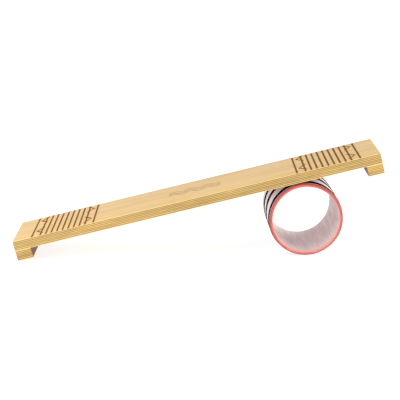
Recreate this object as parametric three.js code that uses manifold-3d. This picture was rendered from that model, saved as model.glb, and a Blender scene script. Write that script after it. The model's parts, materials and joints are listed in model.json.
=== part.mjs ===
// Roller balance board: a birch multiplex plank with a stop block under each end, lying across a loose
// hard-paper tube roller. Millimetres, +Z up, +X along the plank, +Y across it. The origin is on the
// floor, below the middle of the whole object. The left end rests on the floor.
import * as THREE from 'three';
import { mergeVertices } from 'three/addons/utils/BufferGeometryUtils.js';
import Module from 'manifold-3d';

const wasm = await Module();
wasm.setup();

// Plank and stop blocks
const PLANK_LENGTH = 650;
const PLANK_WIDTH = 120;
const PLANK_THICKNESS = 18;
const STOP_LENGTH = 28;
const STOP_HEIGHT = 18;
const EASED_EDGE = 0.6;

// Line pattern burnt into the plank's top, the same at both ends
const PATTERN_START = 35;
const BORDER_GAP = 15;
const LINE_PITCH = 10;
const LINE_COUNT = 9;
const LINE_WIDTH = 2.9;
const LINE_DEPTH = 0.5;
const ARROW_REACH = 10;
const ARROW_TAIL = 3;
const ARROW_BASE = 36;
const ARROW_STROKE = 2.8;
const ARROW_PLACES = [-0.245, 0.3];

// Screws that hold the stops, driven from below
const SCREW_INSET = 22;
const SCREW_SHANK_RADIUS = 2;
const SCREW_HEAD_RADIUS = 4;
const SCREW_HEAD_HEIGHT = 2.6;
const SCREW_LENGTH = 30;
const SCREW_SINK = 1;
const SCREW_ROOM = 0.3;
const SCREW_RIM = 0.3;
const SCREW_POINT = 4;
const SCREW_SIDES = 24;
const RECESS_RADIUS = 1.5;
const RECESS_DEPTH = 1.8;
const RECESS_SIDES = 6;

// Roller, as coaxial layers from the bore outwards
const ROLLER_LENGTH = 127;
const BORE_RADIUS = 58.2;
const LINER_THICKNESS = 0.4;
const TUBE_WALL = 3.5;
const SLEEVE_THICKNESS = 0.6;
const BAND_THICKNESS = 0.7;
const BAND_WIDTH = 12;
const RIM_FACE = 1.6;
const RIM_LEG = 5;
const LAYER_GAP = 0.3;
const ROLLER_SIDES = 64;

// How the two loose pieces lie together
const REST_SLOPE = THREE.MathUtils.degToRad(12.75);
const ROLLER_YAW = THREE.MathUtils.degToRad(2.1);
const ROLLER_OVERHANG = 2.5;
const CONTACT_GAP = 0.35;

// How far cutters run past the wood, and how close two points must be to be the same point
const CUT_PAST = 1;
const WELD = 1e-4;

// Radii that follow from the layers
const TUBE_INNER = BORE_RADIUS + LINER_THICKNESS + LAYER_GAP;
const TUBE_OUTER = TUBE_INNER + TUBE_WALL;
const SLEEVE_INNER = TUBE_OUTER + LAYER_GAP;
const SLEEVE_OUTER = SLEEVE_INNER + SLEEVE_THICKNESS;
const BAND_INNER = SLEEVE_OUTER + LAYER_GAP;
const ROLLER_RADIUS = BAND_INNER + BAND_THICKNESS;

// Axial places on the roller, from its middle
const HALF_ROLLER = ROLLER_LENGTH / 2;
const PAPER_HALF = HALF_ROLLER - RIM_FACE - LAYER_GAP;
const SLEEVE_HALF = HALF_ROLLER - RIM_FACE - RIM_LEG - LAYER_GAP;
const BAND_PLACES = {
  front: -0.394 * ROLLER_LENGTH,
  middle: -0.047 * ROLLER_LENGTH,
  rear: 0.26 * ROLLER_LENGTH,
};

// The plank's underside lies this far from the roller's axis. A yawed roller touches it at one end only.
const YAW_LIFT = HALF_ROLLER * Math.sin(ROLLER_YAW) * Math.sin(REST_SLOPE);
const SEAT = ROLLER_RADIUS + YAW_LIFT + CONTACT_GAP;

// Distance along the plank from its left end to the line over the roller's axis
const AXIS_RISE = ROLLER_RADIUS + (SEAT - STOP_HEIGHT) * Math.cos(REST_SLOPE);
const CONTACT_REACH = AXIS_RISE / Math.sin(REST_SLOPE);

// The roller reaches past both edges of the plank, so its middle is the whole object's middle too.
// It lies this far from the plank's own middle line.
const ROLLER_ACROSS = HALF_ROLLER - ROLLER_OVERHANG - PLANK_WIDTH / 2;

const birch = () => new THREE.MeshStandardMaterial({ color: 0xe3c188, roughness: 0.55 });
const steel = () => new THREE.MeshStandardMaterial({ color: 0xb9babc, roughness: 0.35, metalness: 1 });
const hardPaper = () => new THREE.MeshStandardMaterial({ color: 0xa98b62, roughness: 0.9 });
const linerPaper = () => new THREE.MeshStandardMaterial({ color: 0xc4bcbc, roughness: 0.7 });
const sleevePaper = () => new THREE.MeshStandardMaterial({ color: 0xe9e4ea, roughness: 0.5 });
const blackRubber = () => new THREE.MeshStandardMaterial({ color: 0x17171a, roughness: 0.7 });
const redTrim = () => new THREE.MeshStandardMaterial({ color: 0xe0564a, roughness: 0.5 });

// A closed three.js geometry as a solid that can be joined and cut
function solid(geometry) {
  const bare = geometry.clone();
  bare.deleteAttribute('normal');
  bare.deleteAttribute('uv');
  const merged = mergeVertices(bare, WELD);
  const mesh = new wasm.Mesh({
    numProp: 3,
    vertProperties: new Float32Array(merged.attributes.position.array),
    triVerts: new Uint32Array(merged.index.array),
  });
  return new wasm.Manifold(mesh);
}

function geometryOf(manifold) {
  const mesh = manifold.getMesh();
  const geometry = new THREE.BufferGeometry();
  geometry.setAttribute('position', new THREE.BufferAttribute(new Float32Array(mesh.vertProperties), 3));
  geometry.setIndex(new THREE.BufferAttribute(new Uint32Array(mesh.triVerts), 1));
  geometry.computeVertexNormals();
  return geometry;
}

// A node of the object: one named mesh with its own material
function node(name, geometry, material) {
  const mesh = new THREE.Mesh(geometry, material);
  mesh.name = name;
  return mesh;
}

// A board lying flat with its long and cross edges eased, its corner at the origin, its top at `height`
function board(length, width, height) {
  const outline = new THREE.Shape();
  outline.moveTo(EASED_EDGE, EASED_EDGE);
  outline.lineTo(length - EASED_EDGE, EASED_EDGE);
  outline.lineTo(length - EASED_EDGE, width - EASED_EDGE);
  outline.lineTo(EASED_EDGE, width - EASED_EDGE);
  outline.closePath();
  const geometry = new THREE.ExtrudeGeometry(outline, {
    depth: height - 2 * EASED_EDGE,
    bevelEnabled: true,
    bevelSize: EASED_EDGE,
    bevelThickness: EASED_EDGE,
    bevelSegments: 1,
  });
  return geometry.translate(0, -width / 2, EASED_EDGE);
}

// One straight burnt line, across the whole plank at `along`
function lineCutter(along) {
  const groove = new THREE.BoxGeometry(LINE_WIDTH, PLANK_WIDTH + 2 * CUT_PAST, 2 * LINE_DEPTH);
  return solid(groove.translate(along, 0, PLANK_THICKNESS));
}

// Two slanting strokes that meet in a tip, on both sides of a line at `along`. The tip lies
// ARROW_REACH past the line, the way that `way` (+1 or -1) says.
function arrowCutter(along, across, way) {
  const half = ARROW_BASE / 2;
  const height = ARROW_REACH + ARROW_TAIL;
  const innerTip = ARROW_REACH - ARROW_STROKE * Math.hypot(height, half) / half;
  const innerHalf = half * (innerTip + ARROW_TAIL) / height;
  const chevron = new THREE.Shape([
    new THREE.Vector2(-ARROW_TAIL, -half),
    new THREE.Vector2(ARROW_REACH, 0),
    new THREE.Vector2(-ARROW_TAIL, half),
    new THREE.Vector2(-ARROW_TAIL, innerHalf),
    new THREE.Vector2(innerTip, 0),
    new THREE.Vector2(-ARROW_TAIL, -innerHalf),
  ]);
  const cutter = new THREE.ExtrudeGeometry(chevron, { depth: 2 * LINE_DEPTH, bevelEnabled: false });
  if (way < 0) {
    cutter.rotateZ(Math.PI);
  }
  return solid(cutter.translate(along, across, PLANK_THICKNESS - LINE_DEPTH));
}

// Every burnt line and arrowhead of one end. `along` turns a distance from that end into a place.
function patternCutters(along, outward) {
  const firstLine = PATTERN_START + BORDER_GAP;
  const lastLine = firstLine + (LINE_COUNT - 1) * LINE_PITCH;
  const cutters = [lineCutter(along(PATTERN_START)), lineCutter(along(lastLine + BORDER_GAP))];
  for (let i = 0; i < LINE_COUNT; i++) {
    cutters.push(lineCutter(along(firstLine + i * LINE_PITCH)));
  }
  for (const place of ARROW_PLACES) {
    cutters.push(arrowCutter(along(firstLine), place * PLANK_WIDTH, outward));
    cutters.push(arrowCutter(along(lastLine), place * PLANK_WIDTH, -outward));
  }
  return cutters;
}

// A countersunk screw profile, point up, its head's flat face at height 0, grown by `room` all round
function screwProfile(room) {
  const shank = SCREW_SHANK_RADIUS + room;
  const head = SCREW_HEAD_RADIUS + room;
  const tip = SCREW_LENGTH + room;
  return [
    new THREE.Vector2(0, -room),
    new THREE.Vector2(head, -room),
    new THREE.Vector2(head, SCREW_RIM),
    new THREE.Vector2(shank, SCREW_HEAD_HEIGHT + room),
    new THREE.Vector2(shank, tip - SCREW_POINT),
    new THREE.Vector2(0, tip),
  ];
}

// The hole for a screw: its own shape with room round it, open downwards past the stop's underside
function screwHole(x, y) {
  const depth = SCREW_SINK + CUT_PAST;
  const profile = screwProfile(SCREW_ROOM);
  profile[0].y = -depth;
  profile[1].y = -depth;
  const lathe = new THREE.LatheGeometry(profile, SCREW_SIDES);
  return solid(lathe.rotateX(Math.PI / 2).translate(x, y, SCREW_SINK - STOP_HEIGHT));
}

function screwGeometry(x, y) {
  const body = new THREE.LatheGeometry(screwProfile(0), SCREW_SIDES);
  body.rotateX(Math.PI / 2);
  const recess = new THREE.CylinderGeometry(RECESS_RADIUS, RECESS_RADIUS, 2 * RECESS_DEPTH, RECESS_SIDES);
  recess.rotateX(Math.PI / 2);
  return geometryOf(solid(body).subtract(solid(recess))).translate(x, y, SCREW_SINK - STOP_HEIGHT);
}

// A ring round the roller's own axis (Y) from a closed profile of [radius, place along the axis] points
function ring(profile) {
  const points = profile.map(([radius, along]) => new THREE.Vector2(radius, along));
  points.push(points[0].clone());
  return geometryOf(solid(new THREE.LatheGeometry(points, ROLLER_SIDES)));
}

function plainRing(inner, outer, from, to) {
  return ring([[inner, from], [outer, from], [outer, to], [inner, to]]);
}

// The edge trim of one end: a flat face over the tube's end and a leg round its outside.
// `end` is -1 for the front and +1 for the rear.
function rimTrim(end) {
  const face = end * HALF_ROLLER;
  const back = end * (HALF_ROLLER - RIM_FACE);
  const lip = end * (HALF_ROLLER - RIM_FACE - RIM_LEG);
  const profile = [
    [BORE_RADIUS, face], [BORE_RADIUS, back], [SLEEVE_INNER, back],
    [SLEEVE_INNER, lip], [SLEEVE_OUTER, lip], [SLEEVE_OUTER, face],
  ];
  return ring(end < 0 ? profile.reverse() : profile);
}

// Plank, stops and screws, in the plank's own frame: X from its left end, Z from its underside
function makePlank() {
  const group = new THREE.Group();
  const screwAlong = [STOP_LENGTH / 2, PLANK_LENGTH - STOP_LENGTH / 2];
  const screwAcross = PLANK_WIDTH / 2 - SCREW_INSET;
  const holes = screwAlong.flatMap((x) => [screwHole(x, -screwAcross), screwHole(x, screwAcross)]);

  let plank = solid(board(PLANK_LENGTH, PLANK_WIDTH, PLANK_THICKNESS));
  const left = patternCutters((distance) => distance, -1);
  const right = patternCutters((distance) => PLANK_LENGTH - distance, 1);
  for (const cutter of [...left, ...right, ...holes]) {
    plank = plank.subtract(cutter);
  }
  group.add(node('plank', geometryOf(plank), birch()));

  const places = { left: 0, right: PLANK_LENGTH - STOP_LENGTH };
  for (const [side, start] of Object.entries(places)) {
    const height = STOP_HEIGHT - SCREW_ROOM;
    let stop = solid(board(STOP_LENGTH, PLANK_WIDTH, height).translate(start, 0, -STOP_HEIGHT));
    for (const hole of holes) {
      stop = stop.subtract(hole);
    }
    group.add(node(`${side}_stop_block`, geometryOf(stop), birch()));
  }

  for (const [side, x] of [['left', screwAlong[0]], ['right', screwAlong[1]]]) {
    group.add(node(`${side}_stop_screw_front`, screwGeometry(x, -screwAcross), steel()));
    group.add(node(`${side}_stop_screw_rear`, screwGeometry(x, screwAcross), steel()));
  }
  return group;
}

// The roller's layers, in the roller's own frame: Y along its axis, the origin at its middle
function makeRoller() {
  const group = new THREE.Group();
  const linerOuter = BORE_RADIUS + LINER_THICKNESS;
  const tube = plainRing(TUBE_INNER, TUBE_OUTER, -PAPER_HALF, PAPER_HALF);
  const liner = plainRing(BORE_RADIUS, linerOuter, -PAPER_HALF, PAPER_HALF);
  const sleeve = plainRing(SLEEVE_INNER, SLEEVE_OUTER, -SLEEVE_HALF, SLEEVE_HALF);
  group.add(node('roller_tube', tube, hardPaper()));
  group.add(node('inner_liner', liner, linerPaper()));
  group.add(node('outer_sleeve', sleeve, sleevePaper()));
  group.add(node('front_rim_trim', rimTrim(-1), redTrim()));
  group.add(node('rear_rim_trim', rimTrim(1), redTrim()));
  for (const [side, along] of Object.entries(BAND_PLACES)) {
    const band = plainRing(BAND_INNER, ROLLER_RADIUS, along - BAND_WIDTH / 2, along + BAND_WIDTH / 2);
    group.add(node(`${side}_grip_band`, band, blackRubber()));
  }
  return group;
}

const plankGroup = makePlank();
const plankStart = -PLANK_LENGTH / 2 * Math.cos(REST_SLOPE);
plankGroup.position.set(plankStart, -ROLLER_ACROSS, STOP_HEIGHT * Math.cos(REST_SLOPE));
plankGroup.rotation.y = -REST_SLOPE;

const roller = makeRoller();
const rollerAlong = plankStart + CONTACT_REACH * Math.cos(REST_SLOPE) + SEAT * Math.sin(REST_SLOPE);
roller.position.set(rollerAlong, 0, ROLLER_RADIUS);
roller.rotation.z = ROLLER_YAW;

const balanceBoard = new THREE.Group();
balanceBoard.add(plankGroup, roller);

export default balanceBoard;
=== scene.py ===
import json
import math

import bmesh
import bpy
from mathutils import Matrix, Vector


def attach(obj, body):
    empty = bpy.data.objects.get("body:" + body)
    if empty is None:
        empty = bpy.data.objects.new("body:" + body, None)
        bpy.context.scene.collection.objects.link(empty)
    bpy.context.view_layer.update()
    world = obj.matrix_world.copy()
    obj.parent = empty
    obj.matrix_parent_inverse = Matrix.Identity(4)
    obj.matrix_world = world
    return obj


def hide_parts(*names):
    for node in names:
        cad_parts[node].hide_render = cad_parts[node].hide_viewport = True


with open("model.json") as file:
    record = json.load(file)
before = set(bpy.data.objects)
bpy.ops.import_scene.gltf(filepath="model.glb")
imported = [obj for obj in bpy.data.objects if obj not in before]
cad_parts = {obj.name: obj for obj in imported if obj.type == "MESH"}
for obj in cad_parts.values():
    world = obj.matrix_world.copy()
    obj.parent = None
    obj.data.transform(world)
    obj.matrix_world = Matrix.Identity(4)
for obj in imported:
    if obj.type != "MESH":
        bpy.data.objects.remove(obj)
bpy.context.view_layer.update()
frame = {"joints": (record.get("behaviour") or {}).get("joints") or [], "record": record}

RECORD = frame["record"]
MM = 0.001

# Plank and stop blocks
PLANK_LENGTH = 650 * MM
PLANK_WIDTH = 120 * MM
PLANK_THICKNESS = 18 * MM
STOP_LENGTH = 28 * MM
STOP_HEIGHT = 18 * MM
PLIES = 13
TOP_EASE = 0.8 * MM
UNDER_EASE = 0.4 * MM
GLUE_LINE = 0.04 * MM

# Line pattern burnt into the plank's top, the same at both ends
PATTERN_START = 35 * MM
BORDER_GAP = 15 * MM
LINE_PITCH = 10 * MM
LINE_COUNT = 9
LINE_WIDTH = 2.9 * MM
LINE_DEPTH = 0.5 * MM
ARROW_REACH = 9.2 * MM
ARROW_TAIL = 2.5 * MM
ARROW_BASE = 33 * MM
ARROW_STROKE = 3.4 * MM
ARROW_PLACES = (-0.245, 0.3)

# Plain wave ornament in the middle of the plank, burnt less deeply
WAVE_LENGTH = 92 * MM
WAVE_HEIGHT = 4 * MM
WAVE_TURNS = 3
WAVE_STROKE = 1.8 * MM
WAVE_DEPTH = 0.2 * MM
WAVE_ROWS = (-9 * MM, 0, 9 * MM)
WAVE_STEPS = 36
STROKE_END_STEPS = 8

# Screws
SCREW_INSET = 22 * MM
SCREW_SINK = 1 * MM
SCREW_HEAD_RADIUS = 4 * MM
SCREW_HEAD_HEIGHT = 2.6 * MM
SCREW_LENGTH = 30 * MM
SCREW_CORE_RADIUS = 1.35 * MM
SCREW_THREAD_RADIUS = 1.95 * MM
SCREW_NECK = 10 * MM
SCREW_TIP = 3.2 * MM
SCREW_SEGMENTS = 32
HOLE_SEGMENTS = 40
THREAD_PITCH = 2 * MM
THREAD_SHARE = 0.22

# Roller layers, from the bore outwards
ROLLER_LENGTH = 127 * MM
HALF_ROLLER = ROLLER_LENGTH / 2
BORE_RADIUS = 58.2 * MM
LINER_THICKNESS = 0.5 * MM
SLEEVE_THICKNESS = 0.7 * MM
SLEEVE_RADIUS = 63.3 * MM
BAND_WIDTH = 12 * MM
ROLLER_RADIUS = 64.3 * MM
RIM_FACE = 1.6 * MM
RIM_LEG = 5 * MM
LAYER_GAP = 0.06 * MM
LINER_SETBACK = 0.05 * MM
KRAFT_STRIP = 70 * MM
TUBE_ROUNDING = 0.2 * MM
PAPER_ROUNDING = 0.1 * MM
TRIM_ROUNDING = 1.8 * MM
BAND_GAP = 0.22 * MM
BAND_CROWN = 0.15 * MM
BAND_ROUNDING = 0.35 * MM
BAND_PLACES = {"front": -0.394, "middle": -0.047, "rear": 0.26}
RING_SEGMENTS = 256

# Camera, as its distance, direction and turn about its own line of sight
CAMERA_PLACE = Vector((0.00971, -1.93456, 0.60378))
CAMERA_HEADING = math.radians(-0.139)
CAMERA_PITCH = math.radians(14.967)
CAMERA_ROLL = math.radians(-1.221)
CAMERA_LENS = 101.97


# ---------------------------------------------------------------- places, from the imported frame

def joint(name):
    return next(j for j in frame["joints"] if j["name"] == name)


def mount(name):
    return next(m for m in RECORD["mounts"] if m["name"] == name)


def axes_frame(origin, x_axis, y_axis, z_axis):
    """The matrix of a local frame with these axes at that origin."""
    matrix = Matrix((x_axis, y_axis, z_axis)).transposed().to_4x4()
    matrix.translation = origin
    return matrix


def plank_frame():
    """X from the plank's left end along it, Y across it, Z up from its underside."""
    along = Vector(joint("plank_travel")["axis"]).normalized()
    normal = Vector(mount("plank_top")["axis"]).normalized()
    top_middle = Vector(mount("plank_top")["pos_m"])
    origin = top_middle - along * PLANK_LENGTH / 2 - normal * PLANK_THICKNESS
    return axes_frame(origin, along, normal.cross(along), normal)


def roller_frame():
    """Y along the roller's axis, the origin at its middle."""
    spin = joint("roller_spin")
    axis = Vector(spin["axis"]).normalized()
    up = Vector((0, 0, 1))
    return axes_frame(Vector(spin["pos_m"]), axis.cross(up), axis, up)


PLANK_FRAME = plank_frame()
ROLLER_FRAME = roller_frame()


# ---------------------------------------------------------------- node trees

class Tree:
    """A material's node tree, with a short method for each kind of node that the materials use."""

    def __init__(self, name):
        self.material = bpy.data.materials.new(name)
        self.material.use_nodes = True
        self.nodes = self.material.node_tree.nodes
        self.links = self.material.node_tree.links
        self.shader = self.nodes["Principled BSDF"]
        self.coordinates = self.nodes.new("ShaderNodeTexCoord")

    def feed(self, socket, value):
        if isinstance(value, bpy.types.NodeSocket):
            self.links.new(value, socket)
        else:
            socket.default_value = value

    def math(self, operation, first, second=0.0, clamp=False):
        node = self.nodes.new("ShaderNodeMath")
        node.operation = operation
        node.use_clamp = clamp
        self.feed(node.inputs[0], first)
        self.feed(node.inputs[1], second)
        return node.outputs[0]

    def place(self, origin="Object"):
        """X, Y and Z of the piece's own coordinates in millimetres, or of its normal."""
        split = self.nodes.new("ShaderNodeSeparateXYZ")
        self.links.new(self.coordinates.outputs[origin], split.inputs[0])
        scale = 1.0 if origin == "Normal" else 1 / MM
        return [self.math("MULTIPLY", split.outputs[i], scale) for i in range(3)]

    def vector(self, x, y, z):
        node = self.nodes.new("ShaderNodeCombineXYZ")
        for socket, value in zip(node.inputs, (x, y, z)):
            self.feed(socket, value)
        return node.outputs[0]

    def stretched(self, x, y, z, scales):
        return self.vector(*[self.math("MULTIPLY", v, s) for v, s in zip((x, y, z), scales)])

    def noise(self, vector, detail=3.0):
        """Noise about one unit of the vector wide."""
        node = self.nodes.new("ShaderNodeTexNoise")
        self.links.new(vector, node.inputs["Vector"])
        node.inputs["Scale"].default_value = 1.0
        node.inputs["Detail"].default_value = detail
        node.inputs["Roughness"].default_value = 0.55
        return node.outputs["Fac"]

    def random(self, value):
        node = self.nodes.new("ShaderNodeTexWhiteNoise")
        node.noise_dimensions = "1D"
        self.feed(node.inputs["W"], value)
        return node.outputs["Value"]

    def ramp(self, value, low, high, from_value=0.0, to_value=1.0):
        """A smooth step: from_value below low, to_value above high."""
        node = self.nodes.new("ShaderNodeMapRange")
        node.interpolation_type = "SMOOTHSTEP"
        self.feed(node.inputs["Value"], value)
        node.inputs["From Min"].default_value = low
        node.inputs["From Max"].default_value = high
        node.inputs["To Min"].default_value = from_value
        node.inputs["To Max"].default_value = to_value
        return node.outputs["Result"]

    def mix(self, share, first, second, blend="MIX"):
        node = self.nodes.new("ShaderNodeMix")
        node.data_type = "RGBA"
        node.blend_type = blend
        self.feed(node.inputs["Factor"], share)
        for name, value in (("A", first), ("B", second)):
            socket = next(s for s in node.inputs if s.name == name and s.type == "RGBA")
            self.feed(socket, value if isinstance(value, bpy.types.NodeSocket) else (*value, 1.0))
        return next(s for s in node.outputs if s.type == "RGBA")

    def shade(self, colour, amount):
        """The colour times a brightness that varies over the surface."""
        return self.mix(1.0, colour, self.vector(amount, amount, amount), "MULTIPLY")

    def bump(self, height, depth):
        node = self.nodes.new("ShaderNodeBump")
        node.inputs["Strength"].default_value = 1.0
        node.inputs["Distance"].default_value = depth
        self.links.new(height, node.inputs["Height"])
        self.links.new(node.outputs["Normal"], self.shader.inputs["Normal"])

    def finish(self, colour, roughness, **settings):
        self.feed(self.shader.inputs["Base Color"], colour)
        self.feed(self.shader.inputs["Roughness"], roughness)
        for name, value in settings.items():
            self.shader.inputs[name.replace("_", " ")].default_value = value
        return self.material


# ---------------------------------------------------------------- materials

LIGHT_PLY = (0.64, 0.45, 0.155)
LIGHT_PLY_STREAK = (0.53, 0.34, 0.10)
DARK_PLY = (0.35, 0.20, 0.048)
DARK_PLY_PORE = (0.20, 0.105, 0.025)
OUTER_PLY_AND_HIGHLIGHT = (0.80, 0.59, 0.24)
GOLDEN_PLY = (0.60, 0.33, 0.055)
GLUE = (0.18, 0.095, 0.025)
FACE_PALE = (0.525, 0.354, 0.144)
FACE_WARM = (0.455, 0.285, 0.100)
FACE_PORE = (0.33, 0.19, 0.07)
SCORCH = (0.31, 0.145, 0.027)
CHARRED = ((0.115, 0.043, 0.0033), (0.22, 0.096, 0.0095))
LIGHTLY_CHARRED = ((0.12, 0.058, 0.017), (0.22, 0.115, 0.038))
# painted shade tints for end faces that look inwards, under the plank and between the stops
PLANK_SHADE = (0.55, 0.40, 0.25)
LEFT_STOP_SHADE = (0.36, 0.22, 0.08)
RIGHT_STOP_SHADE = (0.36, 0.23, 0.11)
KRAFT = (0.42, 0.30, 0.18)
KRAFT_PALE = (0.56, 0.42, 0.27)
KRAFT_SEAM = (0.22, 0.15, 0.09)
LINER_PALE = (0.68, 0.56, 0.555)
LINER_GREY = (0.59, 0.487, 0.482)
LINER_PINK_REFLECTION = (0.70, 0.435, 0.42)
LINER_RED_REFLECTION = (0.68, 0.28, 0.24)
SLEEVE_PALE = (0.94, 0.86, 1.0)
SLEEVE_LILAC = (0.88, 0.79, 0.93)
RUBBER = (0.001, 0.001, 0.0012)
RUBBER_DUST = (0.007, 0.0065, 0.0065)
CORAL = (0.54, 0.085, 0.058)
CORAL_FADED = (0.47, 0.068, 0.047)
CORAL_LIP = (0.85, 0.55, 0.48)
CORAL_PAINTED_HIGHLIGHT = (0.82, 0.36, 0.27)
CORAL_SHOULDER_SHADE = (0.42, 0.045, 0.033)
CORAL_SHADE_LINE = (0.17, 0.020, 0.016)
CORAL_LEG_SHADE = (0.46, 0.050, 0.036)
GREY_LIP = (0.62, 0.50, 0.49)
ZINC_PALE = (0.66, 0.66, 0.67)
ZINC_DULL = (0.55, 0.56, 0.58)


def pattern_distance(tree, x):
    """Distance in millimetres along the plank from the middle of the nearest burnt line."""
    length = PLANK_LENGTH / MM
    first = (PATTERN_START + BORDER_GAP) / MM
    last = first + (LINE_COUNT - 1) * LINE_PITCH / MM
    pitch = LINE_PITCH / MM
    from_end = tree.math("MINIMUM", x, tree.math("SUBTRACT", length, x))
    steps = tree.math("DIVIDE", tree.math("SUBTRACT", from_end, first), pitch)
    nearest = tree.math("ROUND", steps)
    nearest = tree.math("MAXIMUM", tree.math("MINIMUM", nearest, LINE_COUNT - 1.0), 0.0)
    line_place = tree.math("ADD", tree.math("MULTIPLY", nearest, pitch), first)
    distance = tree.math("ABSOLUTE", tree.math("SUBTRACT", from_end, line_place))
    for border in (PATTERN_START / MM, last + BORDER_GAP / MM):
        to_border = tree.math("ABSOLUTE", tree.math("SUBTRACT", from_end, border))
        distance = tree.math("MINIMUM", distance, to_border)
    return distance


def ply_edges(tree, height, underside, end):
    """The plies on a board's edges: their colour, and where long grain, pores and glue lines are."""
    x, y, z = tree.place()
    ply = height / MM / PLIES
    sway = tree.noise(tree.stretched(x, y, z, (0.02, 0.02, 0.05)), detail=2.0)
    wavy = tree.math("ADD", z, tree.math("MULTIPLY", tree.math("SUBTRACT", sway, 0.5), 0.35))
    count = tree.math("DIVIDE", tree.math("SUBTRACT", wavy, underside / MM), ply)
    index = tree.math("FLOOR", count)
    inside = tree.math("FRACT", count)
    odd = tree.math("MODULO", tree.math("ADD", index, 2.0), 2.0)
    side = tree.math("SUBTRACT", 1.0, end)
    long_grain = tree.math("ABSOLUTE", tree.math("SUBTRACT", odd, side))

    # each ply's own figure: long streaks in one, short cut fibres in the next
    run = tree.math("ADD", tree.math("MULTIPLY", x, side), tree.math("MULTIPLY", y, end))
    streaks = tree.noise(tree.stretched(run, index, z, (0.05, 17.3, 3.0)))
    pores = tree.noise(tree.stretched(run, index, z, (2.4, 17.3, 2.2)))
    light = tree.mix(tree.ramp(streaks, 0.4, 0.72), LIGHT_PLY, LIGHT_PLY_STREAK)
    dark = tree.mix(tree.ramp(pores, 0.42, 0.68), DARK_PLY, DARK_PLY_PORE)
    edge = tree.mix(long_grain, dark, light)
    edge = tree.shade(edge, tree.ramp(tree.random(index), 0.0, 1.0, 0.88, 1.08))

    # uneven brightness, golden patches, and paler outermost plies: partly the face veneers' own paler wood,
    # partly a painted highlight along the board's edges
    patches = tree.noise(tree.stretched(x, y, z, (0.012, 0.012, 0.1)), detail=2.0)
    edge = tree.shade(edge, tree.ramp(patches, 0.3, 0.7, 0.88, 1.12))
    glow = tree.noise(tree.stretched(x, y, z, (0.03, 0.03, 0.25)), detail=3.0)
    edge = tree.mix(tree.ramp(glow, 0.5, 0.7, 0.0, 0.4), edge, GOLDEN_PLY)
    from_middle = tree.math("ABSOLUTE", tree.math("SUBTRACT", index, (PLIES - 1) / 2))
    edge = tree.mix(tree.ramp(from_middle, PLIES / 2 - 1, PLIES / 2 - 0.6, 0.0, 0.75), edge, OUTER_PLY_AND_HIGHLIGHT)

    to_glue = tree.math("MINIMUM", inside, tree.math("SUBTRACT", 1.0, inside))
    glued = tree.ramp(to_glue, 0.02, 0.075, 0.8, 0.0)
    return tree.mix(glued, edge, GLUE), long_grain, pores, glued


def shaded_ends(tree, edge, end, tone, painted_shade_tint):
    """The edges' colour with darker end grain, and painted shade on end faces short of the stops' middles,
    which look inwards.
    """
    x, _, _ = tree.place()
    from_centre = tree.math("ABSOLUTE", tree.math("SUBTRACT", x, PLANK_LENGTH / MM / 2))
    outermost = (PLANK_LENGTH - STOP_LENGTH) / MM / 2
    inward_shade_mask = tree.math("MULTIPLY", end, tree.ramp(from_centre, outermost - 1.0, outermost + 1.0, 1.0, 0.0))
    edge = tree.shade(edge, tree.ramp(end, 0.0, 1.0, tone, 0.8))
    # painted shade on the end faces that look inwards
    return tree.mix(inward_shade_mask, edge, tree.mix(1.0, edge, painted_shade_tint, "MULTIPLY"))


def face_veneer(tree):
    """Face veneer and its fine fibres: broad soft figure and short dark pores, all along the plank."""
    x, y, z = tree.place()
    drift = tree.noise(tree.stretched(x, y, z, (0.006, 0.03, 0.03)), detail=2.0)
    across = tree.math("ADD", y, tree.math("MULTIPLY", drift, 34.0))
    broad = tree.noise(tree.stretched(x, across, 3.7, (0.004, 0.11, 1.0)))
    fine = tree.noise(tree.stretched(x, y, z, (0.035, 1.9, 0.5)), detail=4.0)
    flecks = tree.noise(tree.stretched(x, y, z, (0.45, 5.5, 0.5)), detail=2.0)
    veneer = tree.mix(tree.ramp(broad, 0.35, 0.7), FACE_PALE, FACE_WARM)
    veneer = tree.shade(veneer, tree.ramp(fine, 0.3, 0.7, 0.93, 1.05))
    return tree.mix(tree.ramp(flecks, 0.66, 0.78, 0.0, 0.55), veneer, FACE_PORE), fine


def scorched(tree, veneer, height):
    """The veneer with a brown halo along the lines burnt across the board's top."""
    x, _, z = tree.place()
    halo = tree.ramp(pattern_distance(tree, x), 1.4, 3.0, 0.65, 0.0)
    above = tree.ramp(z, height / MM - 1.0, height / MM - 0.6)
    return tree.mix(tree.math("MULTIPLY", halo, above), veneer, SCORCH)


def birch(name, height, underside, painted_shade_tint, tone=1.0, plank=False):
    """Birch multiplex: face veneer above and below, plies on the edges.

    The plank is lacquered and has the burnt lines' scorched halo, and the stop blocks are bare.
    """
    tree = Tree(name)
    normal = [tree.math("ABSOLUTE", n) for n in tree.place("Normal")]
    face = tree.ramp(normal[2], 0.55, 0.85)
    end = tree.ramp(normal[0], 0.55, 0.85)
    edge, long_grain, pores, glued = ply_edges(tree, height, underside, end)
    edge = shaded_ends(tree, edge, end, tone, painted_shade_tint)
    veneer, fine = face_veneer(tree)
    if plank:
        veneer = scorched(tree, veneer, height)
    colour = tree.mix(face, edge, veneer)

    on_edge = tree.math("SUBTRACT", 1.0, face)
    open_grain = tree.math("MULTIPLY", on_edge, tree.math("SUBTRACT", 1.0, long_grain))
    gloss = tree.ramp(fine, 0.2, 0.8, 0.40, 0.52)
    roughness = tree.math("ADD", gloss, tree.math("MULTIPLY", open_grain, 0.22), clamp=True)
    relief = tree.math("ADD", tree.math("MULTIPLY", fine, 0.6), tree.math("MULTIPLY", pores, open_grain))
    relief = tree.math("SUBTRACT", relief, tree.math("MULTIPLY", glued, 0.5))
    tree.bump(relief, 0.12 * MM)
    if plank:
        return tree.finish(colour, roughness, Coat_Weight=0.12, Coat_Roughness=0.35)
    return tree.finish(colour, roughness, Specular_IOR_Level=0.35)


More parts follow.
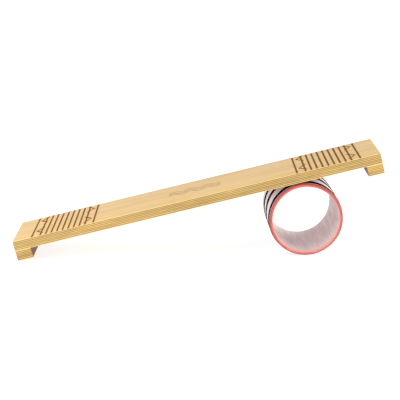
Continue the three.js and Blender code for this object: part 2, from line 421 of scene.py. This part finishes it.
def burnt_wood(name, deep, pale, spread):
    """Wood charred by a laser: dark, dull and a little uneven."""
    tree = Tree(name)
    x, y, z = tree.place()
    char = tree.noise(tree.stretched(x, y, z, (0.9, 0.9, 0.9)), detail=4.0)
    fibres = tree.noise(tree.stretched(x, y, z, (0.3, 3.0, 1.0)), detail=3.0)
    colour = tree.mix(tree.ramp(char, 0.35, spread), deep, pale)
    colour = tree.shade(colour, tree.ramp(fibres, 0.3, 0.7, 0.8, 1.15))
    tree.bump(fibres, 0.2 * MM)
    return tree.finish(colour, tree.ramp(char, 0.3, 0.7, 0.72, 0.9), Specular_IOR_Level=0.1)


def hard_paper(name):
    """Spirally wound kraft board: brown, with the wound strips' seams."""
    tree = Tree(name)
    x, y, z = tree.place()
    angle = tree.math("ARCTAN2", x, z)
    turn = tree.math("MULTIPLY", angle, 1 / (2 * math.pi))
    strip = tree.math("FRACT", tree.math("ADD", tree.math("DIVIDE", y, KRAFT_STRIP / MM), turn))
    seam = tree.ramp(tree.math("MINIMUM", strip, tree.math("SUBTRACT", 1.0, strip)), 0.002, 0.01, 1.0, 0.0)
    fibres = tree.noise(tree.stretched(x, y, z, (0.7, 0.7, 0.7)), detail=5.0)
    colour = tree.mix(tree.ramp(fibres, 0.3, 0.7), KRAFT, KRAFT_PALE)
    colour = tree.mix(tree.math("MULTIPLY", seam, 0.6), colour, KRAFT_SEAM)
    tree.bump(tree.math("SUBTRACT", fibres, seam), 0.3 * MM)
    return tree.finish(colour, tree.ramp(fibres, 0.3, 0.7, 0.82, 0.95))


def liner_paper(name):
    """Light grey paper lining with fine streaks along the bore, a painted pink reflection of the red trim
    towards its front end, and painted light on the bore's left side.
    """
    tree = Tree(name)
    x, y, z = tree.place()
    front = HALF_ROLLER / MM
    forward = tree.math("MULTIPLY", y, -1.0)
    around = tree.math("MULTIPLY", tree.math("ARCTAN2", x, z), BORE_RADIUS / MM)
    streaks = tree.noise(tree.stretched(around, y, 1.0, (0.55, 0.02, 1.0)))
    broad = tree.noise(tree.stretched(around, y, 5.0, (0.09, 0.015, 1.0)))
    mottle = tree.noise(tree.stretched(x, y, z, (0.8, 0.8, 0.8)), detail=4.0)
    colour = tree.mix(tree.ramp(broad, 0.35, 0.65), LINER_PALE, LINER_GREY)
    colour = tree.shade(colour, tree.ramp(streaks, 0.35, 0.65, 0.86, 1.06))
    # painted reflection of the red trim: pink towards the front end, redder at the brim
    colour = tree.mix(tree.ramp(forward, front - 26.0, front - 2.0, 0.0, 0.7), colour, LINER_PINK_REFLECTION)
    colour = tree.mix(tree.ramp(forward, front - 9.0, front - 2.5, 0.0, 0.85), colour, LINER_RED_REFLECTION)
    # painted light: the bore's left side lighter
    colour = tree.shade(colour, tree.ramp(x, -56.0, -24.0, 1.24, 1.0))
    colour = tree.shade(colour, tree.ramp(mottle, 0.3, 0.7, 0.96, 1.03))
    tree.bump(tree.math("ADD", streaks, tree.math("MULTIPLY", mottle, 0.4)), 0.25 * MM)
    return tree.finish(colour, tree.ramp(mottle, 0.3, 0.7, 0.5, 0.66))


def sleeve_paper(name):
    """Pale printed wrapping paper with a cool lilac cast."""
    tree = Tree(name)
    x, y, z = tree.place()
    cast = tree.noise(tree.stretched(x, y, z, (0.03, 0.03, 0.03)), detail=2.0)
    fibres = tree.noise(tree.stretched(x, y, z, (1.6, 1.6, 1.6)), detail=4.0)
    colour = tree.mix(tree.ramp(cast, 0.35, 0.65), SLEEVE_PALE, SLEEVE_LILAC)
    colour = tree.shade(colour, tree.ramp(fibres, 0.3, 0.7, 0.96, 1.02))
    tree.bump(fibres, 0.1 * MM)
    return tree.finish(colour, tree.ramp(fibres, 0.3, 0.7, 0.42, 0.55), Coat_Weight=0.15, Coat_Roughness=0.25)


def black_rubber(name):
    """Black rubber with a fine matt skin and a little dust."""
    tree = Tree(name)
    x, y, z = tree.place()
    grain = tree.noise(tree.stretched(x, y, z, (3.0, 3.0, 3.0)), detail=3.0)
    dust = tree.noise(tree.stretched(x, y, z, (0.15, 0.4, 0.15)), detail=5.0)
    colour = tree.mix(tree.ramp(dust, 0.5, 0.8, 0.0, 0.3), RUBBER, RUBBER_DUST)
    tree.bump(grain, 0.15 * MM)
    return tree.finish(colour, tree.ramp(grain, 0.3, 0.7, 0.7, 0.85), Specular_IOR_Level=0.0)


def red_trim(name):
    """Coral red moulded edging with a satin skin.

    From the bore outwards: a pale lip, grey on the rear trim, an uneven painted highlight strongest low down,
    painted shade on the shoulder with a dark painted shade line, and the leg, a little darker than the face
    as painted shade.
    """
    tree = Tree(name)
    x, y, z = tree.place()
    squares = tree.math("ADD", tree.math("MULTIPLY", x, x), tree.math("MULTIPLY", z, z))
    radius = tree.math("SQRT", squares)
    bore = BORE_RADIUS / MM
    outside = SLEEVE_RADIUS / MM
    skin = tree.noise(tree.stretched(x, y, z, (1.1, 1.1, 1.1)), detail=2.0)
    fade = tree.noise(tree.stretched(x, y, z, (0.035, 0.035, 0.035)), detail=3.0)
    colour = tree.mix(tree.ramp(fade, 0.3, 0.7), CORAL, CORAL_FADED)

    lip = tree.mix(tree.ramp(y, -1.0, 1.0), CORAL_LIP, GREY_LIP)
    lip_share = tree.ramp(y, -1.0, 1.0, 0.6, 1.0)
    near_bore = tree.ramp(radius, bore + 0.2, bore + 0.8, 1.0, 0.0)
    colour = tree.mix(tree.math("MULTIPLY", near_bore, lip_share), colour, lip)

    # painted highlight: an uneven paler band across the face, strongest low down
    uneven = tree.noise(tree.stretched(x, y, z, (0.06, 0.06, 0.06)), detail=2.0)
    from_highlight = tree.math("ABSOLUTE", tree.math("SUBTRACT", radius, bore + 1.9))
    ridge = tree.ramp(from_highlight, 0.2, 1.0, 1.0, 0.0)
    ridge = tree.math("MULTIPLY", ridge, tree.ramp(uneven, 0.35, 0.6, 0.15, 0.7))
    low = tree.ramp(z, -60.0, -10.0, 1.0, 0.35)
    colour = tree.mix(tree.math("MULTIPLY", ridge, low), colour, CORAL_PAINTED_HIGHLIGHT)

    # painted shade on the outer shoulder, a dark painted shade line near its edge, and a slightly darker leg
    colour = tree.mix(tree.ramp(radius, outside - 2.0, outside - 1.2), colour, CORAL_SHOULDER_SHADE)
    colour = tree.mix(tree.ramp(radius, outside - 0.55, outside - 0.3), colour, CORAL_SHADE_LINE)
    colour = tree.mix(tree.ramp(radius, outside - 0.12, outside - 0.03), colour, CORAL_LEG_SHADE)
    tree.bump(skin, 0.08 * MM)
    return tree.finish(colour, tree.ramp(skin, 0.3, 0.7, 0.34, 0.46), Coat_Weight=0.1, Coat_Roughness=0.3)


def zinc(name):
    """Bright zinc plating with a fine scratched sheen."""
    tree = Tree(name)
    x, y, z = tree.place()
    scratches = tree.noise(tree.stretched(x, y, z, (5.0, 0.8, 0.8)), detail=4.0)
    cloud = tree.noise(tree.stretched(x, y, z, (0.6, 0.6, 0.6)), detail=3.0)
    colour = tree.mix(tree.ramp(cloud, 0.35, 0.7), ZINC_PALE, ZINC_DULL)
    tree.bump(scratches, 0.03 * MM)
    return tree.finish(colour, tree.ramp(scratches, 0.3, 0.7, 0.24, 0.4), Metallic=1.0)


# ---------------------------------------------------------------- mesh helpers

def new_piece(name, bm, matrix, materials):
    """A mesh object from a bmesh, at its place in the frame."""
    mesh = bpy.data.meshes.new(name)
    bmesh.ops.recalc_face_normals(bm, faces=bm.faces)
    bm.to_mesh(mesh)
    bm.free()
    piece = bpy.data.objects.new(name, mesh)
    bpy.context.scene.collection.objects.link(piece)
    piece.matrix_world = matrix
    for material in materials:
        mesh.materials.append(material)
    return piece


def smooth(piece, angle=35):
    """Smooth shading, with edges sharper than the angle kept crisp."""
    piece.data.shade_smooth()
    piece.data.set_sharp_from_angle(angle=math.radians(angle))


def settle(piece, body, slot, *nodes):
    """What every piece needs: its body, and the CAD nodes it stands for, which are hidden. The slot argument
    is not used.
    """
    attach(piece, body)
    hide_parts(*nodes)


def apply_modifiers(piece):
    """The piece's mesh becomes what its modifiers make of it."""
    graph = bpy.context.evaluated_depsgraph_get()
    graph.update()
    made = bpy.data.meshes.new_from_object(piece.evaluated_get(graph))
    old = piece.data
    piece.modifiers.clear()
    piece.data = made
    bpy.data.meshes.remove(old)


def cut(piece, cutter):
    """Cuts the cutter's shape out of the piece and removes the cutter."""
    modifier = piece.modifiers.new("cut", "BOOLEAN")
    modifier.operation = "DIFFERENCE"
    modifier.solver = "EXACT"
    modifier.use_self = True
    modifier.material_mode = "TRANSFER"
    modifier.object = cutter
    apply_modifiers(piece)
    bpy.data.objects.remove(cutter)


def fillet(points, radius, steps=4, closed=True):
    """A polygon with its corners rounded. Each corner's radius shrinks where its sides are short."""
    made = []
    count = len(points)
    for i, corner in enumerate(points):
        corner = Vector(corner)
        if not closed and i in (0, count - 1):
            made.append(corner)
            continue
        before = Vector(points[i - 1]) - corner
        after = Vector(points[(i + 1) % count]) - corner
        reach = min(radius, before.length * 0.45, after.length * 0.45)
        start = corner + before.normalized() * reach
        finish = corner + after.normalized() * reach
        for step in range(steps + 1):
            t = step / steps
            made.append(start * (1 - t) ** 2 + corner * 2 * t * (1 - t) + finish * t ** 2)
    return made


def turned(bm, profile, segments, closed=True, radius_at=None):
    """Turns a profile of (radius, along) points about the local Y axis."""
    rows = []
    for radius, along in profile:
        if radius < 1e-9:
            rows.append([bm.verts.new((0, along, 0))])
            continue
        row = []
        for i in range(segments):
            angle = 2 * math.pi * i / segments
            r = radius_at(radius, along, angle) if radius_at else radius
            row.append(bm.verts.new((r * math.sin(angle), along, r * math.cos(angle))))
        rows.append(row)
    pairs = list(zip(rows, rows[1:]))
    if closed:
        pairs.append((rows[-1], rows[0]))
    for first, second in pairs:
        for i in range(segments):
            j = (i + 1) % segments
            corners = [first[i % len(first)], first[j % len(first)]]
            corners += [second[j % len(second)], second[i % len(second)]]
            unique = list(dict.fromkeys(corners))
            if len(unique) > 2:
                bm.faces.new(unique)
    return bm


# ---------------------------------------------------------------- plank and stops

def eased_block(length, width, low, high, start, ease_at):
    """A block along X whose edges are eased by what ease_at says for each edge's middle."""
    bm = bmesh.new()
    bmesh.ops.create_cube(bm, size=1)
    for vert in bm.verts:
        vert.co.x = start + (vert.co.x + 0.5) * length
        vert.co.y *= width
        vert.co.z = low + (vert.co.z + 0.5) * (high - low)
    weights = bm.edges.layers.float.new("bevel_weight_edge")
    eases = {edge.index: ease_at((edge.verts[0].co + edge.verts[1].co) / 2) for edge in bm.edges}
    largest = max(eases.values())
    for edge in bm.edges:
        edge[weights] = eases[edge.index] / largest
    return bm, largest


def ease(piece, width):
    """Rounds the weighted edges of a block."""
    modifier = piece.modifiers.new("ease", "BEVEL")
    modifier.limit_method = "WEIGHT"
    modifier.width = width
    modifier.segments = 3
    modifier.use_clamp_overlap = True
    apply_modifiers(piece)


def stroke(bm, start, finish, width, depth, surface):
    """The cutter for one burnt stroke: round ends, sides that lean in, a floor at that depth."""
    start, finish = Vector(start), Vector(finish)
    direction = (finish - start).normalized()
    heading = math.atan2(direction.y, direction.x)
    rings = []
    # each ring's height over the surface, and its share of the width
    walls = ((depth, 1.2), (0, 1.0), (-0.7 * depth, 0.8), (-depth, 0.5))
    for rise, share in walls:
        reach = width / 2 * share
        ring = []
        for centre, turn in ((finish, -0.5), (start, 0.5)):
            for i in range(STROKE_END_STEPS + 1):
                angle = heading + math.pi * (turn + i / STROKE_END_STEPS)
                x = centre.x + reach * math.cos(angle)
                y = centre.y + reach * math.sin(angle)
                ring.append(bm.verts.new((x, y, surface + rise)))
        rings.append(ring)
    count = len(rings[0])
    for upper, lower in zip(rings, rings[1:]):
        for i in range(count):
            j = (i + 1) % count
            bm.faces.new((upper[i], upper[j], lower[j], lower[i]))
    bm.faces.new(rings[0])
    bm.faces.new(rings[-1])


def pattern_strokes():
    """Start, end and width of every burnt line and arrowhead side on the plank."""
    strokes = []
    half = PLANK_WIDTH / 2 + LINE_WIDTH
    first = PATTERN_START + BORDER_GAP
    last = first + (LINE_COUNT - 1) * LINE_PITCH
    for mirrored in (False, True):
        def place(distance):
            return PLANK_LENGTH - distance if mirrored else distance
        lines = [PATTERN_START, last + BORDER_GAP] + [first + i * LINE_PITCH for i in range(LINE_COUNT)]
        strokes += [((place(line), -half), (place(line), half), LINE_WIDTH) for line in lines]
        for line, outward in ((first, -1), (last, 1)):
            tip, foot = place(line + outward * ARROW_REACH), place(line - outward * ARROW_TAIL)
            for share in ARROW_PLACES:
                middle = share * PLANK_WIDTH
                for way in (-1, 1):
                    strokes.append(((foot, middle + way * ARROW_BASE / 2), (tip, middle), ARROW_STROKE))
    return strokes


def pattern_cutter(material):
    bm = bmesh.new()
    for start, finish, width in pattern_strokes():
        stroke(bm, start, finish, width, LINE_DEPTH, PLANK_THICKNESS)
    return new_piece("pattern_cutter", bm, PLANK_FRAME, [material])


def wave_cutter(material):
    """Parallel waves in the middle of the plank, each a chain of short strokes."""
    bm = bmesh.new()
    for row in WAVE_ROWS:
        points = []
        for i in range(WAVE_STEPS + 1):
            along = (i / WAVE_STEPS - 0.5) * WAVE_LENGTH
            height = WAVE_HEIGHT * math.sin(2 * math.pi * WAVE_TURNS * i / WAVE_STEPS)
            points.append((PLANK_LENGTH / 2 + along, row + height))
        for start, finish in zip(points, points[1:]):
            stroke(bm, start, finish, WAVE_STROKE, WAVE_DEPTH, PLANK_THICKNESS)
    return new_piece("wave_cutter", bm, PLANK_FRAME, [material])


def screw_places():
    across = PLANK_WIDTH / 2 - SCREW_INSET
    ends = {"left": STOP_LENGTH / 2, "right": PLANK_LENGTH - STOP_LENGTH / 2}
    return {
        f"{side}_stop_screw_{row}": (x, y)
        for side, x in ends.items()
        for row, y in (("front", -across), ("rear", across))
    }


def screw_hole_cutter(material, side=None):
    """The countersunk holes for the screws, open below the stops' undersides."""
    bm = bmesh.new()
    shank, head = SCREW_THREAD_RADIUS + 0.15 * MM, SCREW_HEAD_RADIUS + 0.2 * MM
    seat = -STOP_HEIGHT + SCREW_SINK
    profile = [
        (0, -STOP_HEIGHT - 2 * MM),
        (head + 0.4 * MM, -STOP_HEIGHT - 2 * MM),
        (head, seat),
        (shank, seat + SCREW_HEAD_HEIGHT),
        (shank, seat + SCREW_LENGTH - 3 * MM),
        (0, seat + SCREW_LENGTH + 0.4 * MM),
    ]
    for name, (x, y) in screw_places().items():
        if side and not name.startswith(side):
            continue
        hole = bmesh.new()
        turned(hole, profile, HOLE_SEGMENTS, closed=False)
        hole.transform(Matrix.Translation((x, y, 0)) @ Matrix.Rotation(math.pi / 2, 4, "X"))
        mesh = bpy.data.meshes.new("hole")
        hole.to_mesh(mesh)
        hole.free()
        bm.from_mesh(mesh)
        bpy.data.meshes.remove(mesh)
    return new_piece("screw_hole_cutter", bm, PLANK_FRAME, [material])


def make_plank(wood, burnt, lightly_burnt):
    top = PLANK_THICKNESS / 2
    bm, width = eased_block(
        PLANK_LENGTH, PLANK_WIDTH, 0, PLANK_THICKNESS, 0,
        lambda middle: TOP_EASE if middle.z > top * 0.9 else UNDER_EASE,
    )
    plank = new_piece("birch_plank", bm, PLANK_FRAME, [wood])
    ease(plank, width)
    cut(plank, screw_hole_cutter(wood))
    cut(plank, pattern_cutter(burnt))
    cut(plank, wave_cutter(lightly_burnt))
    smooth(plank)
    settle(plank, "plank", "birch_plywood", "plank")


def make_stop(side, wood):
    start = 0 if side == "left" else PLANK_LENGTH - STOP_LENGTH
    high = -GLUE_LINE
    bm, width = eased_block(
        STOP_LENGTH, PLANK_WIDTH, -STOP_HEIGHT, high, start,
        lambda middle: UNDER_EASE / 3 if middle.z > high - MM else TOP_EASE,
    )
    stop = new_piece(f"birch_{side}_stop", bm, PLANK_FRAME, [wood])
    ease(stop, width)
    cut(stop, screw_hole_cutter(wood, side))
    smooth(stop)
    settle(stop, "plank", "birch_plywood", f"{side}_stop_block")


# ---------------------------------------------------------------- screws

def thread_radius(radius, along, angle):
    """The thread's ridge, which climbs one pitch for each turn and fades out at both of its ends."""
    if radius > SCREW_CORE_RADIUS + 1e-6 or along < SCREW_NECK:
        return radius
    phase = (along / THREAD_PITCH - angle / (2 * math.pi)) % 1.0
    ridge = max(0.0, 1 - abs(phase - 0.5) / THREAD_SHARE)
    room = min(1.0, (along - SCREW_NECK) / THREAD_PITCH, (SCREW_LENGTH - along) / (2 * THREAD_PITCH))
    return radius + (SCREW_THREAD_RADIUS - SCREW_CORE_RADIUS) * ridge * max(0.0, room)


def screw_profile():
    """From the head's flat face at 0, up the cone, the plain neck and the threaded shank, to the point."""
    neck_radius = SCREW_CORE_RADIUS + 0.15 * MM
    head = [
        (0, 0),
        (SCREW_HEAD_RADIUS, 0),
        (SCREW_HEAD_RADIUS, 0.35 * MM),
        (neck_radius, SCREW_HEAD_HEIGHT),
        (neck_radius, SCREW_NECK - 0.4 * MM),
    ]
    head = fillet(head, 0.12 * MM, closed=False)
    tip_start = SCREW_LENGTH - SCREW_TIP
    steps = int((tip_start - SCREW_NECK) / THREAD_PITCH * 12)
    shank = [(SCREW_CORE_RADIUS, SCREW_NECK + (tip_start - SCREW_NECK) * i / steps) for i in range(steps + 1)]
    point = [(SCREW_CORE_RADIUS * 0.6, SCREW_LENGTH - 1.5 * MM), (0, SCREW_LENGTH)]
    return [tuple(p) for p in head] + shank + point


def cross_recess(matrix):
    """The cross-shaped drive: two tapered wedges that meet in the middle of the head."""
    bm = bmesh.new()
    # each end's level, reach and half width
    mouth = (-0.5 * MM, 2.5 * MM, 0.45 * MM)
    bottom = (2.2 * MM, 0.7 * MM, 0.3 * MM)
    for turn in (0, math.pi / 2):
        corners = []
        for level, reach, half in (mouth, bottom):
            corners.append([
                bm.verts.new(Matrix.Rotation(turn, 3, "Y") @ Vector((sx * reach, level, sz * half)))
                for sx, sz in ((-1, -1), (1, -1), (1, 1), (-1, 1))
            ])
        low, high = corners
        bm.faces.new(low)
        bm.faces.new(high)
        for i in range(4):
            j = (i + 1) % 4
            bm.faces.new((low[i], low[j], high[j], high[i]))
    return new_piece("recess_cutter", bm, matrix, [])


def make_screws(metal):
    for name, (x, y) in screw_places().items():
        upright = Matrix.Rotation(math.pi / 2, 4, "X")
        place = PLANK_FRAME @ Matrix.Translation((x, y, SCREW_SINK - STOP_HEIGHT)) @ upright
        bm = turned(bmesh.new(), screw_profile(), SCREW_SEGMENTS, closed=False, radius_at=thread_radius)
        screw = new_piece(f"zinc_{name}", bm, place, [metal])
        cut(screw, cross_recess(place))
        smooth(screw, angle=40)
        settle(screw, "plank", "screw_steel", name)


# ---------------------------------------------------------------- roller

def ring(name, profile, material):
    bm = turned(bmesh.new(), profile, RING_SEGMENTS)
    piece = new_piece(name, bm, ROLLER_FRAME, [material])
    smooth(piece)
    return piece


def box_profile(inner, outer, start, finish, rounding):
    return fillet([(inner, start), (outer, start), (outer, finish), (inner, finish)], rounding)


def make_tube(material):
    """The wound hard-paper tube, between the two trims' faces."""
    reach = HALF_ROLLER - RIM_FACE - LAYER_GAP
    inner = BORE_RADIUS + LINER_THICKNESS + LAYER_GAP
    outer = SLEEVE_RADIUS - SLEEVE_THICKNESS - LAYER_GAP
    tube = ring("hard_paper_tube", box_profile(inner, outer, -reach, reach, TUBE_ROUNDING), material)
    settle(tube, "roller", "hard_paper", "roller_tube")


def make_paper(liner_material, sleeve_material):
    """The liner runs the whole bore between the trims' faces, the sleeve stops at their legs."""
    reach = HALF_ROLLER - RIM_FACE - LAYER_GAP
    inner, outer = BORE_RADIUS + LINER_SETBACK, BORE_RADIUS + LINER_THICKNESS
    liner = ring("grey_paper_liner", box_profile(inner, outer, -reach, reach, PAPER_ROUNDING), liner_material)
    settle(liner, "roller", "liner_paper", "inner_liner")
    reach -= RIM_LEG
    inner, outer = SLEEVE_RADIUS - SLEEVE_THICKNESS, SLEEVE_RADIUS
    profile = box_profile(inner, outer, -reach, reach, PAPER_ROUNDING)
    sleeve = ring("printed_paper_sleeve", profile, sleeve_material)
    settle(sleeve, "roller", "sleeve_paper", "outer_sleeve")


def make_rims(material):
    """The trims of the tube's two ends: a rounded face and a leg round the outside."""
    for side, way in (("front", -1), ("rear", 1)):
        face = way * HALF_ROLLER
        back = way * (HALF_ROLLER - RIM_FACE)
        lip = way * (HALF_ROLLER - RIM_FACE - RIM_LEG)
        leg = SLEEVE_RADIUS - SLEEVE_THICKNESS
        profile = [
            (BORE_RADIUS, face), (BORE_RADIUS, back), (leg, back),
            (leg, lip), (SLEEVE_RADIUS, lip), (SLEEVE_RADIUS, face),
        ]
        trim = ring(f"red_{side}_rim", fillet(profile, TRIM_ROUNDING, 6), material)
        settle(trim, "roller", "red_trim", f"{side}_rim_trim")


def make_bands(material):
    """Rubber bands with a flat inside and a domed outside."""
    bodies = {"front": "standing_bands", "middle": "rocking_band", "rear": "standing_bands"}
    inner = SLEEVE_RADIUS + BAND_GAP
    shoulder = ROLLER_RADIUS - BAND_CROWN
    half = BAND_WIDTH / 2
    for side, share in BAND_PLACES.items():
        middle = share * ROLLER_LENGTH
        profile = [
            (inner, middle - half), (shoulder, middle - half), (ROLLER_RADIUS, middle - half / 2),
            (ROLLER_RADIUS, middle + half / 2), (shoulder, middle + half), (inner, middle + half),
        ]
        band = ring(f"rubber_{side}_band", fillet(profile, BAND_ROUNDING, 4), material)
        settle(band, bodies[side], "black_rubber", f"{side}_grip_band")


# ---------------------------------------------------------------- floor, light and camera

FLOOR_GREY = (0.3, 0.3, 0.3, 1.0)
WHITE = (1.0, 1.0, 1.0, 1.0)
FLOOR_GLOW = 0.75
FLOOR_DROP = 0.2 * MM
FLOOR_REACH = 30
WORLD_LEVEL = 0.62
WORLD_ABOVE = 1.15


def make_floor():
    """A pale, softly glowing table that reaches far beyond the part."""
    bm = bmesh.new()
    bmesh.ops.create_grid(bm, x_segments=1, y_segments=1, size=FLOOR_REACH)
    tree = Tree("pale_floor")
    paint = tree.finish(FLOOR_GREY, 0.9, Emission_Color=WHITE, Emission_Strength=FLOOR_GLOW)
    floor = new_piece("floor", bm, Matrix.Translation((0, 0, -FLOOR_DROP)), [paint])


def soft_light(name, towards, strength, spread):
    """An even light from far away, as wide as a large studio softbox."""
    light = bpy.data.lights.new(name, "SUN")
    light.energy = strength
    light.angle = math.radians(spread)
    lamp = bpy.data.objects.new(name, light)
    lamp.rotation_euler = (-Vector(towards)).to_track_quat("-Z", "Y").to_euler()
    bpy.context.scene.collection.objects.link(lamp)


def side_light(name, place, target, size, power):
    """A round softbox close enough for one end of the plank to be lit more than the other."""
    light = bpy.data.lights.new(name, "AREA")
    light.shape = "DISK"
    light.size = size
    light.energy = power
    lamp = bpy.data.objects.new(name, light)
    lamp.location = place
    lamp.rotation_euler = (Vector(target) - Vector(place)).to_track_quat("-Z", "Y").to_euler()
    bpy.context.scene.collection.objects.link(lamp)


def make_light():
    """A white studio, brighter above than at eye level, lit from above, both sides, behind and the front."""
    world = bpy.data.worlds.new("studio")
    world.use_nodes = True
    nodes, links = world.node_tree.nodes, world.node_tree.links
    coordinates = nodes.new("ShaderNodeTexCoord")
    split = nodes.new("ShaderNodeSeparateXYZ")
    rise = nodes.new("ShaderNodeMapRange")
    rise.inputs["To Min"].default_value = WORLD_LEVEL
    rise.inputs["To Max"].default_value = WORLD_ABOVE
    links.new(coordinates.outputs["Generated"], split.inputs[0])
    links.new(split.outputs["Z"], rise.inputs["Value"])
    links.new(rise.outputs["Result"], nodes["Background"].inputs["Strength"])
    nodes["Background"].inputs["Color"].default_value = WHITE
    bpy.context.scene.world = world
    soft_light("key", (-0.35, -0.35, 0.87), strength=0.92, spread=50)
    soft_light("right", (0.94, -0.28, 0.12), strength=1.5, spread=40)
    soft_light("back", (0.84, 0.48, 0.25), strength=1.8, spread=30)
    side_light("left_box", (-1.0, -0.1, 0.65), target=(-0.1, 0, 0.05), size=0.7, power=6.5)
    soft_light("fill", (-0.4, -0.9, 0.15), strength=0.82, spread=50)


def make_camera():
    camera = bpy.data.objects.new("camera", bpy.data.cameras.new("camera"))
    camera.data.lens = CAMERA_LENS
    camera.data.clip_start = 0.05
    turn = Matrix.Rotation(-CAMERA_HEADING, 4, "Z") @ Matrix.Rotation(math.pi / 2 - CAMERA_PITCH, 4, "X")
    roll = Matrix.Rotation(CAMERA_ROLL, 4, "Z")
    camera.matrix_world = Matrix.Translation(CAMERA_PLACE) @ turn @ roll
    bpy.context.scene.collection.objects.link(camera)
    bpy.context.scene.camera = camera


def main():
    wood = birch("birch_plank_wood", PLANK_THICKNESS, 0, PLANK_SHADE, plank=True)
    stop_woods = {
        "left": birch("birch_left_stop_wood", STOP_HEIGHT, -STOP_HEIGHT, LEFT_STOP_SHADE),
        "right": birch("birch_right_stop_wood", STOP_HEIGHT, -STOP_HEIGHT, RIGHT_STOP_SHADE, tone=1.14),
    }
    burnt = burnt_wood("burnt_wood", *CHARRED, spread=0.75)
    lightly_burnt = burnt_wood("lightly_burnt_wood", *LIGHTLY_CHARRED, spread=0.65)
    make_plank(wood, burnt, lightly_burnt)
    for side, stop_wood in stop_woods.items():
        make_stop(side, stop_wood)
    make_screws(zinc("zinc_plate"))
    make_tube(hard_paper("kraft_board"))
    make_paper(liner_paper("grey_liner_paper"), sleeve_paper("lilac_sleeve_paper"))
    make_rims(red_trim("coral_trim"))
    make_bands(black_rubber("black_band_rubber"))
    make_floor()
    make_light()
    make_camera()
    bpy.context.scene.view_settings.view_transform = "Standard"


main()
